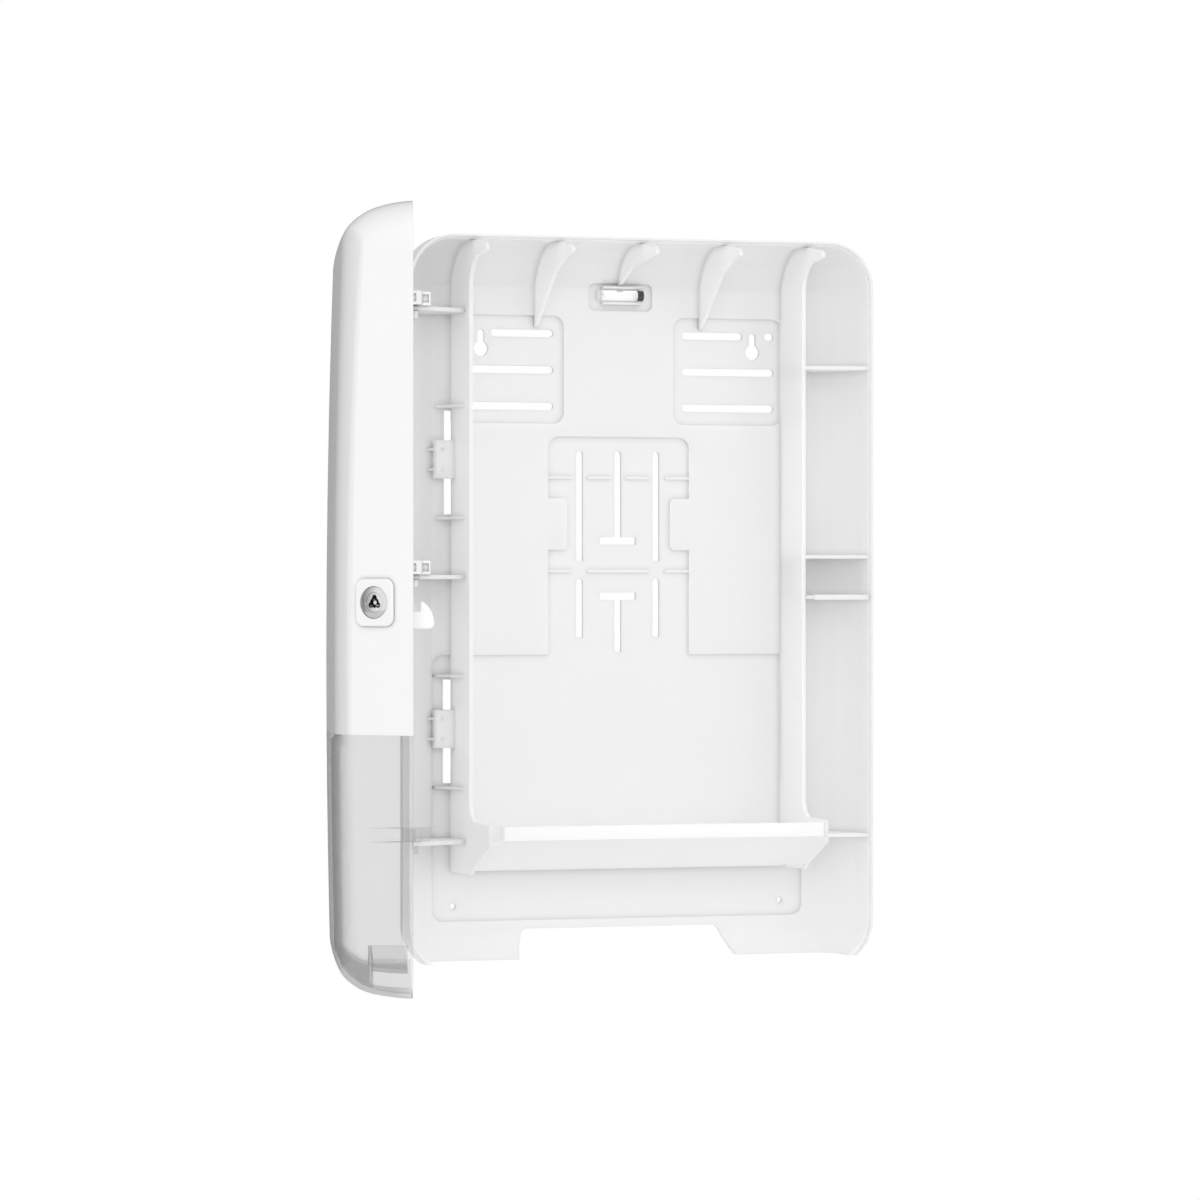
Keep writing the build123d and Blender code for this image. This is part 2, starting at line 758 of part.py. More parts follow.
def hinge_arm(level):
    rim_reach = hypot(half_width + hinge_x, body_depth - hinge_height) + sweep_clearance
    mid_skin = side_skin / 2
    edge = -half_width - hinge_x + mid_skin
    rise = body_depth - hinge_height

    def on_wall(depth):
        return edge + crease_slope * depth, rise + depth

    far = (arm_outer - edge) / crease_slope
    points = [
        (-1.3, -arm_tail), (arm_boss_radius, -arm_tail), (arm_boss_radius, -arm_neck + 0.3),
        (arm_outer - 3, -arm_neck + 0.3), (arm_outer, -arm_neck + 3.3),
        on_wall(far), on_wall(1), (-1.3, 1)]
    shape = make_face(Polyline(*points, close=True))
    sweep = Circle(rim_reach) & Pos(0, 0.3 + rim_reach) * Rectangle(4 * rim_reach, 2 * rim_reach)
    shape = shape - sweep + Circle(arm_boss_radius)
    low = level - arm_tall / 2
    arm = extrude(plan(level + arm_tall / 2) * Pos(hinge_x, hinge_height) * shape, amount=arm_tall)
    groove = arm_tall - 2 * arm_flange
    arm -= block(hinge_x + arm_outer - arm_groove, hinge_x + arm_outer + 1,
                 hinge_height, body_depth + arm_reach, level - groove / 2, level + groove / 2)
    arm -= block(hinge_x + arm_boss_radius - arm_groove, hinge_x + arm_boss_radius + 1,
                 hinge_height - arm_tail + 1.2, hinge_height - arm_neck - 0.5,
                 level - groove / 2, level + groove / 2)
    pin_low = low - ledge_gap - ledge_thickness - ledge_gap
    arm += Pos(hinge_x, -hinge_height, (low + pin_low) / 2 + 0.2) * Cylinder(
        pin_radius, low - pin_low + 0.4)
    barb = [(-arm_boss_radius, pin_low), (arm_boss_radius, pin_low), (1, pin_low - barb_length),
            (-1, pin_low - barb_length)]
    middle = Plane(origin=(hinge_x, -hinge_height, 0), x_dir=(1, 0, 0), z_dir=(0, -1, 0))
    return arm + extrude(middle * make_face(Polyline(*barb, close=True)), amount=barb_half, both=True)


def lock_plane():
    out = body_depth + lock_depth
    x = half_width - crease_slope * lock_depth
    return Plane(origin=(x, -out, lock_level), x_dir=(0, 0, 1), z_dir=(1, -crease_slope, 0))


def disc(radius, low, high):
    return lock_plane() * Pos(0, 0, (low + high) / 2) * Cylinder(radius, high - low)


def hook_side(x):
    return Plane(origin=(x, -body_depth, 0), x_dir=(0, -1, 0), z_dir=(-1, 0, 0))


def hook_ears(form):
    ears = Part()
    gap = hook_thickness / 2 + ear_gap
    for low in (hook_plane + gap, hook_plane - gap - ear_thickness):
        points = [(hook_pivot_depth - ear_half + 1, lock_level - ear_half),
                  (hook_pivot_depth - ear_half, lock_level),
                  (hook_pivot_depth - ear_half + 1, lock_level + ear_half),
                  (cover_depth, lock_level + ear_half + 2), (cover_depth, lock_level - ear_half - 2)]
        ears += prism(hook_side(low + ear_thickness), points, ear_thickness)
    bore = Pos(hook_plane, -body_depth - hook_pivot_depth, lock_level) * Rot(0, 90, 0)
    return (ears & form) - bore * Cylinder(hook_pin_radius, 40)


def notch_prism(inset, low, high, top):
    rise = half_height + top
    lean = (cutout_low_half - cutout_high_half) / (half_height + cutout_top)
    wide = cutout_low_half - hand_notch_gap - inset
    points = [(-wide - lean * 10, -half_height - 10), (-wide + lean * rise, top),
              (wide - lean * rise, top), (wide + lean * 10, -half_height - 10)]
    return prism(front(body_depth + low), points, high - low)


def joint_ring(shallow, deep, low, high):
    forms = []
    for skin in (shallow, deep):
        near = half_width - skin * hypot(1, crease_slope)
        far = near - crease_slope * (cover_depth + 5)
        points = [(-near, body_depth), (near, body_depth), (far, body_depth + cover_depth + 5),
                  (-far, body_depth + cover_depth + 5)]
        forms.append(prism(plan(high), points, high - low) & crown(skin))
    limit = block(-half_width, half_width, body_depth + 2.5, body_depth + cover_depth, low, high)
    return (forms[0] - forms[1]) & limit


def make_cover():
    form = soft_creases(cover_form(0))
    shell = form - cover_void(wall) - hinge_relief()
    shell -= block(-half_width - 1, half_width + 1, 0, body_depth + rim_gap, -height, height)
    above = block(-half_width - 1, half_width + 1, 0, 2 * body_depth + cover_depth, split_level, height)
    upper = shell & above
    for level in arm_levels[:2]:
        upper += hinge_arm(level)
    upper += hook_ears(form)
    upper -= disc(barrel_radius + fit_gap, -3 * wall, wall)

    lower = shell - above
    lower += joint_ring(wall - 0.5, wall + joint_gap + tongue_skin, split_level - 6, split_level)
    lower += joint_ring(wall + joint_gap, wall + joint_gap + tongue_skin,
                        split_level - 0.5, split_level + joint_tongue)
    lower += notch_prism(-hand_notch_skin, rim_gap, hand_notch_depth, cutout_top) & form
    lower -= notch_prism(0, -5, hand_notch_depth - hand_notch_skin, cutout_top + 8)
    lower += hinge_arm(arm_levels[2])
    return upper, lower


# The lock, along its own axis on the side of the cover

def make_bezel():
    base = lock_plane() * RectangleRounded(bezel_tall, bezel_across, bezel_corner)
    bezel = extrude(base, amount=bezel_rise)
    bezel = chamfer(bezel.faces().sort_by(lock_axis())[-1].edges(), bezel_rise * 0.3)
    return bezel - disc(barrel_face_radius + fit_gap, -bezel_rise, 2 * bezel_rise)


def lock_axis():
    plane = lock_plane()
    return Axis(plane.origin, plane.z_dir)


def make_barrel():
    face = bezel_rise - barrel_sink
    barrel = disc(barrel_face_radius, 0, face) + disc(barrel_radius, -barrel_length, face)
    return barrel - disc(plug_radius + plug_clearance, -2 * barrel_length, barrel_length)


def make_plug():
    face = bezel_rise - barrel_sink - 0.2
    plug = disc(plug_radius, -barrel_length - fit_gap, face)
    lobes = Circle(keyhole_reach)
    for turn in (0, 120, 240):
        lobes += Rot(0, 0, turn) * Pos(keyhole_reach, 0) * Circle(keyhole_lobe)
    plug -= extrude(lock_plane() * Pos(0, 0, face - key_pocket) * lobes, amount=key_pocket + 1)
    return plug - disc(cam_screw_radius + 0.02, -2 * barrel_length, cam_screw_length - barrel_length)


def make_centre_pin():
    face = bezel_rise - barrel_sink - 0.2
    return disc(centre_pin_radius, face - key_pocket, face - 0.6)


def nut_seat():
    return -wall - washer_thickness


def make_washer():
    return disc(washer_radius, nut_seat(), -wall) - disc(barrel_radius + 0.05, -20, 20)


def make_nut():
    base = Pos(0, 0, nut_seat() - nut_thickness) * RegularPolygon(nut_across / 2, 6, major_radius=False)
    nut = extrude(lock_plane() * base, amount=nut_thickness)
    return nut - disc(barrel_radius + 0.05, -20, 20)


def cam_seat():
    return -barrel_length - fit_gap


def make_cam():
    low = cam_seat() - cam_thickness
    cam = disc(cam_radius, low, cam_seat())
    turn = radians(plug_turn / 2)
    place = Pos(-finger_offset * sin(turn), -finger_offset * cos(turn), low - finger_length / 2)
    cam += lock_plane() * place * Cylinder(finger_radius, finger_length)
    return cam - disc(cam_screw_radius + 0.02, -40, 0)


def make_cam_screw():
    low = cam_seat() - cam_thickness
    screw = disc(cam_screw_radius, low, low + cam_screw_length)
    return screw + disc(cam_screw_head, low - cam_screw_rise, low)


# The latch hook swings in the plane of the cover's depth, moved by the cam finger in its slot

def finger_crossing():
    plane = lock_plane()
    run = (plane.origin.X - hook_plane + plane.z_dir.Y * -finger_back()) / plane.z_dir.X
    return -plane.origin.Y - body_depth + plane.z_dir.Y * run - finger_back() * plane.z_dir.X


def finger_back():
    return finger_offset * cos(radians(plug_turn / 2))


def make_hook():
    reach = hook_pivot_depth - finger_crossing()
    drop = finger_offset * sin(radians(plug_turn / 2))
    tilt = degrees(asin(drop / reach))
    nose = -hook_reach
    points_low = [(nose + 1.8, hook_head_low), (-1, hook_head_low), (5, -12.5),
                  (hook_pivot_depth - 1, lock_level - hook_boss_radius)]
    line = ThreePointArc((-hook_face - 1.2, hook_head_top), (-9.2, -4.9), (nose, -12.2))
    line += Polyline((nose, -12.2), (nose, hook_head_low + 1.6), *points_low,
                     (hook_pivot_depth, lock_level + hook_boss_radius), (8, 1.4), (1.4, 0.6),
                     (1.4, hook_neck_top), (-hook_face, hook_neck_top), (-hook_face, hook_head_top - 0.8),
                     (-hook_face - 1.2, hook_head_top))
    shape = make_face(line) + Pos(hook_pivot_depth, lock_level) * Circle(hook_boss_radius)
    shape -= Pos(hook_pivot_depth, lock_level) * Circle(hook_pin_radius + pin_clearance)
    slot_long = 2 * finger_radius + hook_thickness * crease_slope + 4.2
    slot_place = Pos(hook_pivot_depth - reach, lock_level - drop) * Rot(0, 0, tilt)
    shape -= slot_place * RectangleRounded(slot_long, 2 * (finger_radius + finger_play), 1.2)
    return extrude(hook_side(hook_plane) * shape, amount=hook_thickness / 2, both=True)


def make_pivot_pin():
    reach = hook_thickness / 2 + ear_gap + ear_thickness
    place = Pos(hook_plane, -body_depth - hook_pivot_depth, lock_level) * Rot(0, 90, 0)
    return place * Cylinder(hook_pin_radius, 2 * reach)


# The spirit level lies in its cradle, along X

def level_rod(radius, start, end):
    out = wall + cradle_gap + vial_radius
    place = Pos(level_x + (start + end) / 2, -out, level_z) * Rot(0, 90, 0)
    return place * Cylinder(radius, end - start)


def make_level():
    half = vial_length / 2
    bore = vial_radius - vial_skin
    plug_start = half - end_plug_length
    vial = level_rod(vial_radius, -half, half) - level_rod(bore, -half + vial_skin, half + 1)
    fluid = level_rod(bore, -half + vial_skin, plug_start)
    out = wall + cradle_gap + vial_radius
    bubble = Pos(level_x - 1.5, -out, level_z + bore) * Box(4.6, 2 * bore, 2.4)
    plug = level_rod(bore, plug_start, half)
    return vial, fluid - bubble, plug


def swung_open(shape):
    hinge = Axis((hinge_x, -hinge_height, 0), (0, 0, 1))
    return shape.rotate(hinge, -open_angle)


def save(shape, name):
    shape.label = name
    export_step(shape, "parts/" + name + ".step")


def main():
    os.makedirs("parts", exist_ok=True)
    save(make_back_shell(), "back_shell")
    upper, lower = make_cover()
    on_cover = {
        "cover_upper": upper, "cover_lower": lower, "lock_bezel": make_bezel(),
        "lock_barrel": make_barrel(), "lock_plug": make_plug(), "key_centre_pin": make_centre_pin(),
        "lock_washer": make_washer(), "lock_nut": make_nut(), "lock_cam": make_cam(),
        "cam_screw": make_cam_screw(), "latch_hook": make_hook(), "latch_pivot_pin": make_pivot_pin()}
    for name, shape in on_cover.items():
        save(swung_open(shape), name)
    vial, fluid, plug = make_level()
    save(vial, "level_vial")
    save(fluid, "level_fluid")
    save(plug, "level_end_plug")


main()
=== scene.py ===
# %% [markdown]
# A wall dispenser for folded towels, with its cover swung open on the left.
# The solids come ready made from the CAD model, in metres, with X to the right, Y into the wall and
# Z up. This lesson gives them their finishes and sets up a plain studio, with a camera at the angle
# of the photograph.
# The first step loads the solids as a fixed frame.

# %% Load the solids
import bpy
import bmesh
import math
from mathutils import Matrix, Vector


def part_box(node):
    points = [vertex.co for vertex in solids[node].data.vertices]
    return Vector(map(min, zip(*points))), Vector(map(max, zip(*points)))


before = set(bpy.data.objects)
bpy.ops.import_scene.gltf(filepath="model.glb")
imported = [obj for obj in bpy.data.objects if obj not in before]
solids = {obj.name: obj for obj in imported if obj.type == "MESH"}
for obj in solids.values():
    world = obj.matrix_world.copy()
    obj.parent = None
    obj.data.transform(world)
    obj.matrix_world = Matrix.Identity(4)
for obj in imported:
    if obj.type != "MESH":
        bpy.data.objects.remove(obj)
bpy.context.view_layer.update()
print("solids:", sorted(solids))

# %% [markdown]
# Colours are picked on a screen, so they are written as sRGB hex values. Shaders work with
# linear light, and one function turns one into the other.
# A second small function adds a node to a material, with its settings and its links in one call.
# Every material below is built with it. A third makes the empty material that the nodes go in.

# %% Helpers for every material
def linear(hex_colour):
    """Return an sRGB hex colour as the linear red, green, blue and alpha that shaders use."""
    values = [int(hex_colour[i:i + 2], 16) / 255 for i in (1, 3, 5)]
    return tuple(v / 12.92 if v <= 0.04045 else ((v + 0.055) / 1.055) ** 2.4 for v in values) + (1,)


def add_node(tree, kind, settings=None, **inputs):
    """Add a node, with its own properties as settings and its sockets as inputs.

    An input is named by its label, with _ for a space, or by its number after a _. It is set to a
    value or linked to the socket given.
    """
    node = tree.nodes.new(kind)
    for name, value in (settings or {}).items():
        setattr(node, name, value)
    for name, value in inputs.items():
        label = int(name[1:]) if name[1:].isdigit() else name.replace("_", " ")
        socket = node.inputs[label]
        if isinstance(value, bpy.types.NodeSocket):
            tree.links.new(value, socket)
        else:
            socket.default_value = value
    return node


def new_material(name):
    """Return an empty material, its node tree and its output node."""
    material = bpy.data.materials.new(name)
    material.use_nodes = True
    material.node_tree.nodes.clear()
    return material, material.node_tree, add_node(material.node_tree, "ShaderNodeOutputMaterial")


MM = 0.001
print("white, linear:", [round(v, 3) for v in linear("#F4F4F4")])

# %% [markdown]
# The back shell is one injection moulding in white ABS. Its steel tool was left with a fine
# spark-eroded face, so the plastic comes out satin: soft highlights, no mirror image.
# White ABS of 2.5 mm lets light in and through: in the photograph the pockets beside the magazine are
# nearly as bright as the panel. Subsurface scattering with a path of 9 mm gives that glow.
# It also washes out the fine grey lines that inner corners have in soft light, so the Ambient
# Occlusion node, which finds where two walls meet within 5 mm, mixes a slightly darker tone in there.
# A real spark-eroded grain is about 0.05 mm, which is too fine to show here. It is drawn at 0.6 mm.
# Real mouldings also have a small radius on every edge. The Bevel node rounds the shading there,
# which catches a thin highlight along ribs and slots, without changing the solid.

# %% Satin moulded ABS, for the back shell
satin_abs, tree, output = new_material("satin_moulded_abs")
place = add_node(tree, "ShaderNodeTexCoord").outputs["Object"]
grain = add_node(tree, "ShaderNodeTexNoise", Vector=place, Scale=1 / (0.6 * MM), Detail=2.0)
cloud = add_node(tree, "ShaderNodeTexNoise", Vector=place, Scale=1 / (90 * MM), Detail=2.0)
tone = add_node(tree, "ShaderNodeMix", {"data_type": "RGBA"}, _0=cloud.outputs["Fac"],
                _6=linear("#F8F8F8"), _7=linear("#FBFBFB"))
gloss = add_node(tree, "ShaderNodeMapRange", Value=cloud.outputs["Fac"], To_Min=0.36, To_Max=0.46)
corner = add_node(tree, "ShaderNodeAmbientOcclusion", {"samples": 4, "only_local": True},
                  Distance=5 * MM).outputs["AO"]
corner = add_node(tree, "ShaderNodeMapRange", Value=corner, From_Min=0.35, From_Max=0.9)
tone = add_node(tree, "ShaderNodeMix", {"data_type": "RGBA"}, _0=corner.outputs["Result"],
                _6=linear("#D2D2D2"), _7=tone.outputs[2])
edge = add_node(tree, "ShaderNodeBevel", {"samples": 4}, Radius=0.5 * MM)
skin = add_node(tree, "ShaderNodeBump", Strength=0.06, Distance=0.05 * MM,
                Height=grain.outputs["Fac"], Normal=edge.outputs["Normal"])
surface = add_node(tree, "ShaderNodeBsdfPrincipled", Base_Color=tone.outputs[2],
                   Roughness=gloss.outputs["Result"], IOR=1.54, Normal=skin.outputs["Normal"],
                   Subsurface_Weight=1.0, Subsurface_Radius=(9 * MM, 9 * MM, 9 * MM),
                   Subsurface_Scale=1.0)
tree.links.new(surface.outputs["BSDF"], output.inputs["Surface"])
print("made", satin_abs.name)

# %% [markdown]
# The upper cover is the same ABS from a polished tool. It is glossy, with the very faint waviness
# that moulded gloss plastic has, 6 mm from crest to crest. Where a nearby wall shades it, as in the
# joint round the lock trim, Ambient Occlusion within 2.5 mm mixes in a darker grey as painted shade.

# %% Gloss moulded ABS, for the upper cover and the lock trim
gloss_abs, tree, output = new_material("gloss_moulded_abs")
place = add_node(tree, "ShaderNodeTexCoord").outputs["Object"]
wave = add_node(tree, "ShaderNodeTexNoise", Vector=place, Scale=1 / (6 * MM), Detail=1.0)
cloud = add_node(tree, "ShaderNodeTexNoise", Vector=place, Scale=1 / (120 * MM), Detail=2.0)
tone = add_node(tree, "ShaderNodeMix", {"data_type": "RGBA"}, _0=cloud.outputs["Fac"],
                _6=linear("#F0F0F0"), _7=linear("#F4F4F4"))
gloss = add_node(tree, "ShaderNodeMapRange", Value=cloud.outputs["Fac"], To_Min=0.14, To_Max=0.2)
# painted shade: a darker grey mixed in where Ambient Occlusion finds a near wall
corner = add_node(tree, "ShaderNodeAmbientOcclusion", {"samples": 4}, Distance=2.5 * MM).outputs["AO"]
corner = add_node(tree, "ShaderNodeMapRange", Value=corner, From_Min=0.4, From_Max=0.85)
tone = add_node(tree, "ShaderNodeMix", {"data_type": "RGBA"}, _0=corner.outputs["Result"],
                _6=linear("#A8A8A8"), _7=tone.outputs[2])
edge = add_node(tree, "ShaderNodeBevel", {"samples": 4}, Radius=0.4 * MM)
skin = add_node(tree, "ShaderNodeBump", Strength=0.02, Distance=0.1 * MM,
                Height=wave.outputs["Fac"], Normal=edge.outputs["Normal"])
surface = add_node(tree, "ShaderNodeBsdfPrincipled", Base_Color=tone.outputs[2],
                   Roughness=gloss.outputs["Result"], IOR=1.54, Normal=skin.outputs["Normal"],
                   Subsurface_Weight=0.1, Subsurface_Radius=(3 * MM, 3 * MM, 3 * MM),
                   Subsurface_Scale=1.0)
tree.links.new(surface.outputs["BSDF"], output.inputs["Surface"])
print("made", gloss_abs.name)

# %% [markdown]
# The lower cover is clear SAN with a grey dye, so that the towels left inside can be seen. Looked at
# square on, light crosses 2.5 mm of it and the plastic is pale. Along the wall it crosses much more,
# and the surface also mirrors more there, so the plastic is dark at its outline.
# Bent light in a thin wall only blurs what is behind, so the wall is drawn with Alpha, which lets
# light straight through. Layer Weight makes it denser towards the outline, as the longer way through
# the dye does.

# %% Smoked clear SAN, for the lower cover
smoked_san, tree, output = new_material("smoked_clear_san")
place = add_node(tree, "ShaderNodeTexCoord").outputs["Object"]
wave = add_node(tree, "ShaderNodeTexNoise", Vector=place, Scale=1 / (6 * MM), Detail=1.0)
cloud = add_node(tree, "ShaderNodeTexNoise", Vector=place, Scale=1 / (80 * MM), Detail=2.0)
tone = add_node(tree, "ShaderNodeMix", {"data_type": "RGBA"}, _0=cloud.outputs["Fac"],
                _6=linear("#969696"), _7=linear("#A0A0A0"))
gloss = add_node(tree, "ShaderNodeMapRange", Value=wave.outputs["Fac"], To_Min=0.06, To_Max=0.12)
skin = add_node(tree, "ShaderNodeBump", Strength=0.02, Distance=0.1 * MM, Height=wave.outputs["Fac"])
slant = add_node(tree, "ShaderNodeLayerWeight", Blend=0.5).outputs["Facing"]
slant = add_node(tree, "ShaderNodeMath", {"operation": "POWER"}, _0=slant, _1=5.0).outputs[0]
dye = add_node(tree, "ShaderNodeMapRange", Value=slant, To_Min=0.12, To_Max=0.72)
surface = add_node(tree, "ShaderNodeBsdfPrincipled", Base_Color=tone.outputs[2],
                   Roughness=gloss.outputs["Result"], IOR=1.57, Alpha=dye.outputs["Result"],
                   Normal=skin.outputs["Normal"])
tree.links.new(surface.outputs["BSDF"], output.inputs["Surface"])
print("made", smoked_san.name)

# %% [markdown]
# The lock is die-cast zinc, polished and chrome plated: bright, nearly colourless, with hairline
# wipes that only show in the reflections. Its face is turned to a slight dome, so that one half
# mirrors the bright room and the other its darker side. The dome is a bump whose height falls with
# the square of the distance from the middle. As painted shade, Ambient Occlusion within 3 mm blackens
# the keyhole.
# The nut, washer, cam, screw and pin behind it are steel with a duller zinc plate, which has small
# crystals of different tone.

# %% Chrome plate and zinc plate
DOME_RADIUS = 40 * MM
lock_middle = [(low + high) / 2 for low, high in zip(*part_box("lock_barrel"))]
chrome_plate, tree, output = new_material("polished_chrome_plate")
place = add_node(tree, "ShaderNodeTexCoord").outputs["Object"]
wipes = add_node(tree, "ShaderNodeTexNoise", Vector=place, Scale=1 / (1.5 * MM), Detail=3.0)
gloss = add_node(tree, "ShaderNodeMapRange", Value=wipes.outputs["Fac"], To_Min=0.06, To_Max=0.14)
# painted shade: deep spots such as the keyhole turn near-black where Ambient Occlusion finds near
# walls
inside = add_node(tree, "ShaderNodeAmbientOcclusion", {"samples": 4}, Distance=3 * MM).outputs["AO"]
inside = add_node(tree, "ShaderNodeMapRange", Value=inside, From_Min=0.45, From_Max=0.8)
tone = add_node(tree, "ShaderNodeMix", {"data_type": "RGBA"}, _0=inside.outputs["Result"],
                _6=linear("#0C0C0C"), _7=linear("#E2E2E3"))
off_middle = add_node(tree, "ShaderNodeVectorMath", {"operation": "DISTANCE"}, _0=place,
                      _1=lock_middle).outputs["Value"]
dome = add_node(tree, "ShaderNodeMath", {"operation": "MULTIPLY"}, _0=off_middle, _1=off_middle)
dome = add_node(tree, "ShaderNodeMath", {"operation": "MULTIPLY"}, _0=dome.outputs[0],
                _1=-1 / (2 * DOME_RADIUS))
edge = add_node(tree, "ShaderNodeBevel", {"samples": 4}, Radius=0.25 * MM)
skin = add_node(tree, "ShaderNodeBump", Strength=1.0, Distance=1.0, Height=dome.outputs[0],
                Normal=edge.outputs["Normal"])
surface = add_node(tree, "ShaderNodeBsdfPrincipled", Base_Color=tone.outputs[2], Metallic=1.0,
                   Roughness=gloss.outputs["Result"], Normal=skin.outputs["Normal"])
tree.links.new(surface.outputs["BSDF"], output.inputs["Surface"])

zinc_plate, tree, output = new_material("zinc_plated_steel")
place = add_node(tree, "ShaderNodeTexCoord").outputs["Object"]
crystals = add_node(tree, "ShaderNodeTexVoronoi", Vector=place, Scale=1 / (0.8 * MM))
tone = add_node(tree, "ShaderNodeMix", {"data_type": "RGBA"}, _0=crystals.outputs["Distance"],
                _6=linear("#B9BAB8"), _7=linear("#9C9E9D"))
gloss = add_node(tree, "ShaderNodeMapRange", Value=crystals.outputs["Distance"],
                 To_Min=0.3, To_Max=0.42)
surface = add_node(tree, "ShaderNodeBsdfPrincipled", Base_Color=tone.outputs[2], Metallic=1.0,
                   Roughness=gloss.outputs["Result"])
tree.links.new(surface.outputs["BSDF"], output.inputs["Surface"])
print("made", chrome_plate.name, "and", zinc_plate.name)

# %% [markdown]
# The latch hook is white acetal, the usual plastic for small parts that slide: a little waxier and
# softer in its gloss than ABS. The spirit level is a clear acrylic tube filled with a thin liquid,
# closed by a black rubber-like end. A clear tube round a liquid bends light so little that it is
# drawn with Alpha, and only its gloss shows. The liquid gives off a quarter of white, as painted
# light for the bright light that passes into it.

# %% Acetal, acrylic, liquid and the black end
acetal, tree, output = new_material("moulded_acetal")
place = add_node(tree, "ShaderNodeTexCoord").outputs["Object"]
cloud = add_node(tree, "ShaderNodeTexNoise", Vector=place, Scale=1 / (12 * MM), Detail=2.0)
tone = add_node(tree, "ShaderNodeMix", {"data_type": "RGBA"}, _0=cloud.outputs["Fac"],
                _6=linear("#F7F7F7"), _7=linear("#FAFAFA"))
gloss = add_node(tree, "ShaderNodeMapRange", Value=cloud.outputs["Fac"], To_Min=0.26, To_Max=0.34)
edge = add_node(tree, "ShaderNodeBevel", {"samples": 4}, Radius=0.4 * MM)
surface = add_node(tree, "ShaderNodeBsdfPrincipled", Base_Color=tone.outputs[2],
                   Roughness=gloss.outputs["Result"], IOR=1.48, Normal=edge.outputs["Normal"],
                   Subsurface_Weight=0.3, Subsurface_Radius=(4 * MM, 4 * MM, 4 * MM),
                   Subsurface_Scale=1.0)
tree.links.new(surface.outputs["BSDF"], output.inputs["Surface"])

acrylic, tree, output = new_material("clear_acrylic_tube")
place = add_node(tree, "ShaderNodeTexCoord").outputs["Object"]
wipes = add_node(tree, "ShaderNodeTexNoise", Vector=place, Scale=1 / (2 * MM), Detail=2.0)
gloss = add_node(tree, "ShaderNodeMapRange", Value=wipes.outputs["Fac"], To_Min=0.02, To_Max=0.05)
surface = add_node(tree, "ShaderNodeBsdfPrincipled", Base_Color=linear("#F6F6F6"), Alpha=0.05,
                   Roughness=gloss.outputs["Result"], IOR=1.49)
tree.links.new(surface.outputs["BSDF"], output.inputs["Surface"])

liquid, tree, output = new_material("clear_level_liquid")
place = add_node(tree, "ShaderNodeTexCoord").outputs["Object"]
haze = add_node(tree, "ShaderNodeTexNoise", Vector=place, Scale=1 / (5 * MM), Detail=1.0)
tone = add_node(tree, "ShaderNodeMix", {"data_type": "RGBA"}, _0=haze.outputs["Fac"],
                _6=linear("#FBFBFB"), _7=linear("#FEFEFE"))
# painted light: the liquid glows with a quarter of white, though it is no lamp
surface = add_node(tree, "ShaderNodeBsdfPrincipled", Base_Color=tone.outputs[2],
                   Roughness=0.1, IOR=1.36, Transmission_Weight=0.1,
                   Emission_Color=linear("#FAFAFA"), Emission_Strength=0.25)
tree.links.new(surface.outputs["BSDF"], output.inputs["Surface"])

black_rubber, tree, output = new_material("black_moulded_rubber")
place = add_node(tree, "ShaderNodeTexCoord").outputs["Object"]
grain = add_node(tree, "ShaderNodeTexNoise", Vector=place, Scale=1 / (0.5 * MM), Detail=2.0)
tone = add_node(tree, "ShaderNodeMix", {"data_type": "RGBA"}, _0=grain.outputs["Fac"],
                _6=linear("#060606"), _7=linear("#0E0E0E"))
skin = add_node(tree, "ShaderNodeBump", Strength=0.2, Distance=0.05 * MM,
                Height=grain.outputs["Fac"])
surface = add_node(tree, "ShaderNodeBsdfPrincipled", Base_Color=tone.outputs[2],
                   Roughness=0.5, IOR=1.52, Normal=skin.outputs["Normal"])
tree.links.new(surface.outputs["BSDF"], output.inputs["Surface"])
print("made", acetal.name, acrylic.name, liquid.name, black_rubber.name)

# %% [markdown]
# Each solid now gets its finish. The solids stay where they are and keep their meshes: only the
# material slots change.

# %% Give each solid its finish
finishes = {
    "back_shell": satin_abs, "cover_upper": gloss_abs, "cover_lower": smoked_san,
    "lock_bezel": gloss_abs, "lock_barrel": chrome_plate, "lock_plug": chrome_plate,
    "key_centre_pin": chrome_plate, "lock_washer": zinc_plate, "lock_nut": zinc_plate,
    "lock_cam": zinc_plate, "cam_screw": zinc_plate, "latch_hook": acetal,
    "latch_pivot_pin": zinc_plate, "level_vial": acrylic, "level_fluid": liquid,
    "level_end_plug": black_rubber}
for name, finish in finishes.items():
    solids[name].data.materials.clear()
    solids[name].data.materials.append(finish)
    print(f"{name:16} {finish.name}")
print("without a finish:", sorted(set(solids) - set(finishes)))

# %% [markdown]
# The camera stands where the photographer stood. Its place and lens were worked out from straight
# and square features, such as the rim and the screw slots: 3.3 m away, level with the middle of the
# dispenser and 19 degrees to the left. The long lens keeps the far side nearly as large as the near
# side. The picture is 1200 by 1200, and the lens is written for a 36 mm wide sensor.

# %% Camera
PICTURE = 1200
FOCAL_IN_PIXELS = 5241.2
SENSOR_WIDTH = 36.0
CAMERA_PLACE = (-1.0696, -3.0935, 0.0035)
YAW, PITCH = 0.32973, -0.001245
camera_data = bpy.data.cameras.new("camera")
camera_data.sensor_width = SENSOR_WIDTH
camera_data.lens = FOCAL_IN_PIXELS / PICTURE * SENSOR_WIDTH
camera = bpy.data.objects.new("camera", camera_data)
camera.location = CAMERA_PLACE
heading = Vector((math.sin(YAW) * math.cos(PITCH), math.cos(YAW) * math.cos(PITCH), math.sin(PITCH)))
camera.rotation_euler = heading.to_track_quat("-Z", "Y").to_euler()
bpy.context.scene.collection.objects.link(camera)
bpy.context.scene.camera = camera
print("lens", round(camera_data.lens, 2), "mm at", [round(v, 3) for v in camera.location])

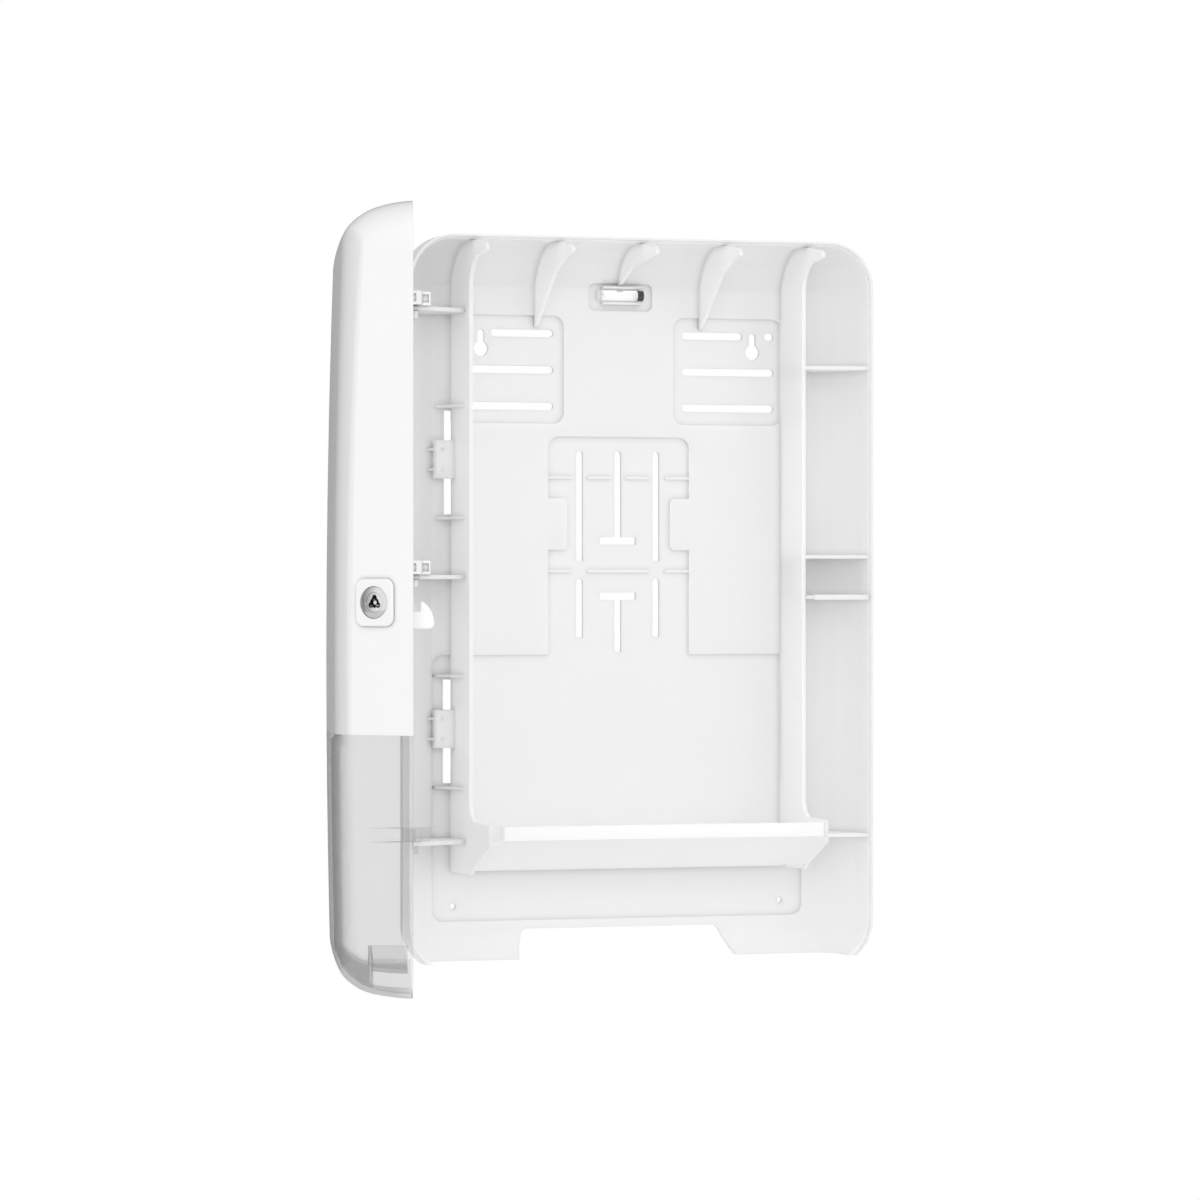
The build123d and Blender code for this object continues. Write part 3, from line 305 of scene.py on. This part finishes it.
# %% [markdown]
# The studio is a pale floor 1.2 m below, as far down as a dispenser hangs on its wall, and a white
# surround. Camera and transmission rays meet plain white, so the background is white also where it
# is seen through the smoked plastic. Mirrored rays meet the same white in front. It falls off
# behind, where a dark card stands in a real studio: the card gives white plastic on white its grey
# outline, and the dome of the lock mirrors it on its left. All other rays meet a softer light, which
# also fades behind.
# Two large soft lamps near the camera give the form its gentle shading and reach into the pockets.
# Together they light the dispenser at a plain level, at which a colour renders about as written.

# %% Floor
FLOOR_LEVEL = -1.2
FLOOR_REACH = 6.0
bed = bmesh.new()
bmesh.ops.create_grid(bed, x_segments=8, y_segments=8, size=FLOOR_REACH)
bmesh.ops.translate(bed, verts=bed.verts, vec=(0, 0, FLOOR_LEVEL))
floor_mesh = bpy.data.meshes.new("floor")
bed.to_mesh(floor_mesh)
bed.free()
floor = bpy.data.objects.new("floor", floor_mesh)
bpy.context.scene.collection.objects.link(floor)

pale_floor, tree, output = new_material("pale_painted_floor")
place = add_node(tree, "ShaderNodeTexCoord").outputs["Object"]
cloud = add_node(tree, "ShaderNodeTexNoise", Vector=place, Scale=1.5, Detail=2.0)
tone = add_node(tree, "ShaderNodeMix", {"data_type": "RGBA"}, _0=cloud.outputs["Fac"],
                _6=linear("#F2F2F2"), _7=linear("#F5F5F5"))
paint = add_node(tree, "ShaderNodeBsdfPrincipled", Base_Color=tone.outputs[2], Roughness=0.7)
tree.links.new(paint.outputs["BSDF"], output.inputs["Surface"])
floor_mesh.materials.append(pale_floor)
print("floor at", FLOOR_LEVEL, "m, reaching", FLOOR_REACH, "m each way")

# %% Surround
SOFT_IN_FRONT, SOFT_BEHIND = 1.02, 0.2
CARD_LEVEL = 0.2
world = bpy.data.worlds.new("white_surround")
bpy.context.scene.world = world
world.use_nodes = True
tree = world.node_tree
tree.nodes.clear()
rays = add_node(tree, "ShaderNodeLightPath")
seen = add_node(tree, "ShaderNodeMath", {"operation": "MAXIMUM"},
                _0=rays.outputs["Is Camera Ray"], _1=rays.outputs["Is Transmission Ray"])
seen = add_node(tree, "ShaderNodeMath", {"operation": "MAXIMUM"},
                _0=seen.outputs[0], _1=rays.outputs["Is Glossy Ray"])
direction = add_node(tree, "ShaderNodeSeparateXYZ",
                     Vector=add_node(tree, "ShaderNodeTexCoord").outputs["Generated"])
soft_level = add_node(tree, "ShaderNodeMapRange", Value=direction.outputs["Y"], From_Min=0.0,
                      From_Max=0.8, To_Min=SOFT_IN_FRONT, To_Max=SOFT_BEHIND)
card = add_node(tree, "ShaderNodeMapRange", Value=direction.outputs["Y"], From_Min=-0.15,
                From_Max=0.35, To_Min=1.0, To_Max=CARD_LEVEL)
soft = add_node(tree, "ShaderNodeBackground", Color=linear("#FFFFFF"),
                Strength=soft_level.outputs["Result"])
white = add_node(tree, "ShaderNodeBackground", Color=linear("#FFFFFF"), Strength=1.0)
mirrored = add_node(tree, "ShaderNodeBackground", Color=linear("#FFFFFF"),
                    Strength=card.outputs["Result"])
plain = add_node(tree, "ShaderNodeMixShader", _0=rays.outputs["Is Glossy Ray"],
                 _1=white.outputs[0], _2=mirrored.outputs[0])
mixed = add_node(tree, "ShaderNodeMixShader", _0=seen.outputs[0], _1=soft.outputs[0],
                 _2=plain.outputs[0])
add_node(tree, "ShaderNodeOutputWorld", Surface=mixed.outputs[0])
print("surround", world.name, "with", len(tree.nodes), "nodes")

# %% Lamps
def soft_lamp(name, place, aim, size, power):
    """Add a square soft lamp that faces a point."""
    data = bpy.data.lights.new(name, "AREA")
    data.size = size
    data.energy = power
    lamp = bpy.data.objects.new(name, data)
    lamp.location = place
    lamp.rotation_euler = (Vector(aim) - Vector(place)).to_track_quat("-Z", "Y").to_euler()
    bpy.context.scene.collection.objects.link(lamp)
    print(name, "at", place, "power", power)


soft_lamp("key_lamp", (-0.75, -2.5, 0.45), (0, 0, 0), 1.2, 11)
soft_lamp("fill_lamp", (1.6, -1.8, 0.3), (0, 0, 0), 1.6, 3)

# %% [markdown]
# The picture is shown with the plain Standard view, so that white stays white.

# %% View
bpy.context.scene.view_settings.view_transform = "Standard"
